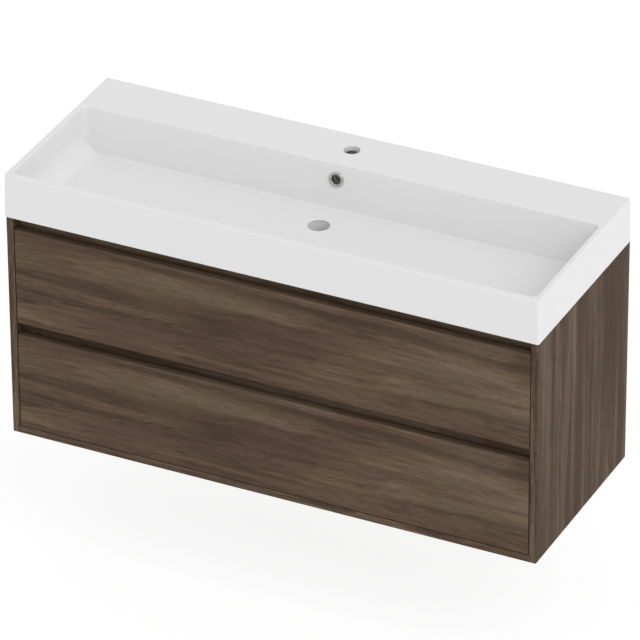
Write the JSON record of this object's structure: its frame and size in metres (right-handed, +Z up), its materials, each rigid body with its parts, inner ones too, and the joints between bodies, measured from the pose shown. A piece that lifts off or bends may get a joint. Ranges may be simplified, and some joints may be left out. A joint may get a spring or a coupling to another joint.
{
  "type": "wall-hung vanity unit",
  "caption": "Wide wall-hung vanity cabinet in dark walnut decor with inset drawers under finger recesses, topped by a white rectangular washbasin.",
  "frame": {"origin": "on the wall plane, midway across the cabinet, at its underside", "axes": "+X to the right seen from the front, +Y back into the wall, +Z up"},
  "size_m": [1.203, 0.46, 0.62],
  "materials": {
    "walnut_board": "matt",
    "drawer_board": "matt",
    "white_glaze": "gloss",
    "bright_chrome": "polished",
    "zinc_steel": "satin",
    "cage_plastic": "matt",
    "beech": "matt"
  },
  "bodies": {
    "cabinet": {"side_panel_left": "walnut_board", "side_panel_right": "walnut_board", "bottom_panel": "walnut_board", "middle_grip_rail": "walnut_board", "top_grip_rail": "walnut_board", "lower_back_rail": "walnut_board", "upper_back_rail": "walnut_board", "carcass_dowels": "beech", "washbasin": "white_glaze", "overflow_ring": "bright_chrome", "hanger_pins": "zinc_steel", "hanger_housing_left": "zinc_steel", "hanger_hook_left": "zinc_steel", "wall_plate_left": "zinc_steel", "lower_runner_cabinet_left": "zinc_steel", "upper_runner_cabinet_left": "zinc_steel", "hanger_housing_right": "zinc_steel", "hanger_hook_right": "zinc_steel", "wall_plate_right": "zinc_steel", "lower_runner_cabinet_right": "zinc_steel", "upper_runner_cabinet_right": "zinc_steel"},
    "upper_drawer": {"upper_drawer_front": "walnut_board", "upper_box_front": "drawer_board", "upper_box_bottom": "drawer_board", "upper_box_side_left": "drawer_board", "upper_box_side_right": "drawer_board", "upper_runner_drawer_left": "zinc_steel", "upper_runner_drawer_right": "zinc_steel", "upper_box_back_left": "drawer_board", "upper_box_back_right": "drawer_board", "trap_wall_left": "drawer_board", "trap_wall_right": "drawer_board", "trap_wall_front": "drawer_board"},
    "upper_runner_outer_cages": {"upper_runner_outer_cage_left": "cage_plastic", "upper_runner_outer_cage_right": "cage_plastic"},
    "upper_runner_middles": {"upper_runner_middle_left": "zinc_steel", "upper_runner_middle_right": "zinc_steel"},
    "upper_runner_inner_cages": {"upper_runner_inner_cage_left": "cage_plastic", "upper_runner_inner_cage_right": "cage_plastic"},
    "lower_drawer": {"lower_drawer_front": "walnut_board", "lower_box_front": "drawer_board", "lower_box_bottom": "drawer_board", "lower_box_side_left": "drawer_board", "lower_box_side_right": "drawer_board", "lower_runner_drawer_left": "zinc_steel", "lower_runner_drawer_right": "zinc_steel", "lower_box_back": "drawer_board"},
    "lower_runner_outer_cages": {"lower_runner_outer_cage_left": "cage_plastic", "lower_runner_outer_cage_right": "cage_plastic"},
    "lower_runner_middles": {"lower_runner_middle_left": "zinc_steel", "lower_runner_middle_right": "zinc_steel"},
    "lower_runner_inner_cages": {"lower_runner_inner_cage_left": "cage_plastic", "lower_runner_inner_cage_right": "cage_plastic"}
  },
  "joints": [
    {"name": "upper_drawer_slide", "type": "slide", "parent": "cabinet", "child": "upper_drawer", "axis": [0, -1, 0], "range_m": [0, 0.38]},
    {"name": "upper_runner_outer_cages_slide", "type": "slide", "parent": "cabinet", "child": "upper_runner_outer_cages", "axis": [0, -1, 0], "range_m": [0, 0.095]},
    {"name": "upper_runner_middles_slide", "type": "slide", "parent": "cabinet", "child": "upper_runner_middles", "axis": [0, -1, 0], "range_m": [0, 0.19]},
    {"name": "upper_runner_inner_cages_slide", "type": "slide", "parent": "cabinet", "child": "upper_runner_inner_cages", "axis": [0, -1, 0], "range_m": [0, 0.285]},
    {"name": "lower_drawer_slide", "type": "slide", "parent": "cabinet", "child": "lower_drawer", "axis": [0, -1, 0], "range_m": [0, 0.38]},
    {"name": "lower_runner_outer_cages_slide", "type": "slide", "parent": "cabinet", "child": "lower_runner_outer_cages", "axis": [0, -1, 0], "range_m": [0, 0.095]},
    {"name": "lower_runner_middles_slide", "type": "slide", "parent": "cabinet", "child": "lower_runner_middles", "axis": [0, -1, 0], "range_m": [0, 0.19]},
    {"name": "lower_runner_inner_cages_slide", "type": "slide", "parent": "cabinet", "child": "lower_runner_inner_cages", "axis": [0, -1, 0], "range_m": [0, 0.285]}
  ],
  "couplings": [
    {"joint": "upper_runner_outer_cages_slide", "follows": "upper_drawer_slide", "ratio": 0.25},
    {"joint": "upper_runner_middles_slide", "follows": "upper_drawer_slide", "ratio": 0.5},
    {"joint": "upper_runner_inner_cages_slide", "follows": "upper_drawer_slide", "ratio": 0.75},
    {"joint": "lower_runner_outer_cages_slide", "follows": "lower_drawer_slide", "ratio": 0.25},
    {"joint": "lower_runner_middles_slide", "follows": "lower_drawer_slide", "ratio": 0.5},
    {"joint": "lower_runner_inner_cages_slide", "follows": "lower_drawer_slide", "ratio": 0.75}
  ]
}
